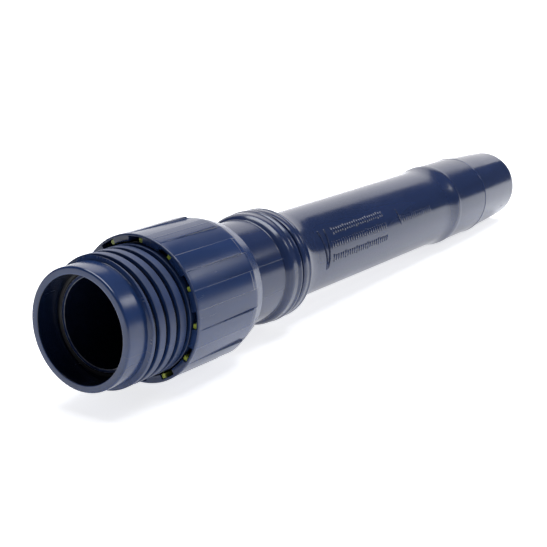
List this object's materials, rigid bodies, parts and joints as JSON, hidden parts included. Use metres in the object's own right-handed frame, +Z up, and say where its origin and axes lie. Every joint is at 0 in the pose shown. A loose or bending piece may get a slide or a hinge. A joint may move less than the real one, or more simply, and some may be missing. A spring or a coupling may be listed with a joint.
{
  "type": "pool cleaner extension pipe",
  "caption": "Extension pipe of a suction pool cleaner: threaded mouth, ribbed hand nut on the thread, ringed neck, long tube, tapered hose end, and an inner pipe that slides in the mouth.",
  "frame": {"origin": "centre of the open mouth, on the axis, in the plane of the front rim", "axes": "+X along the pipe from the mouth to the hose end, +Z up"},
  "size_m": [0.4208, 0.0716, 0.0716],
  "materials": {
    "pipe_plastic": "glossy moulded, navy blue",
    "spigot_plastic": "glossy moulded, fine grain on the thread crests",
    "nut_plastic": "glossy moulded, navy blue",
    "core_plastic": "satin, yellow-green",
    "bush_plastic": "smooth, navy blue",
    "inner_pipe_plastic": "glossy moulded, navy blue",
    "guide_plastic": "smooth, dark",
    "seal_rubber": "dull black"
  },
  "bodies": {
    "pipe": {"outer_pipe": "pipe_plastic", "threaded_spigot": "spigot_plastic", "front_guide_ring": "guide_plastic", "rear_guide_ring": "guide_plastic", "pipe_seal": "seal_rubber"},
    "bush": {"nut_guide_bush": "bush_plastic"},
    "nut": {"hand_nut": "nut_plastic", "nut_thread_core": "core_plastic"},
    "inner": {"inner_pipe": "inner_pipe_plastic"}
  },
  "joints": [
    {"name": "nut_advance", "type": "slide", "parent": "pipe", "child": "bush", "axis": [1, 0, 0], "range_m": [-0.0133, 0.0145]},
    {"name": "nut_turn", "type": "hinge", "parent": "bush", "child": "nut", "pos_m": [0.07, 0, 0], "axis": [1, 0, 0], "range_deg": [-660, 720]},
    {"name": "inner_pipe_slide", "type": "slide", "parent": "pipe", "child": "inner", "axis": [-1, 0, 0], "range_m": [0, 0.049]}
  ],
  "couplings": [
    {"joint": "nut_advance", "follows": "nut_turn", "m_per_rad": 0.0011459}
  ]
}
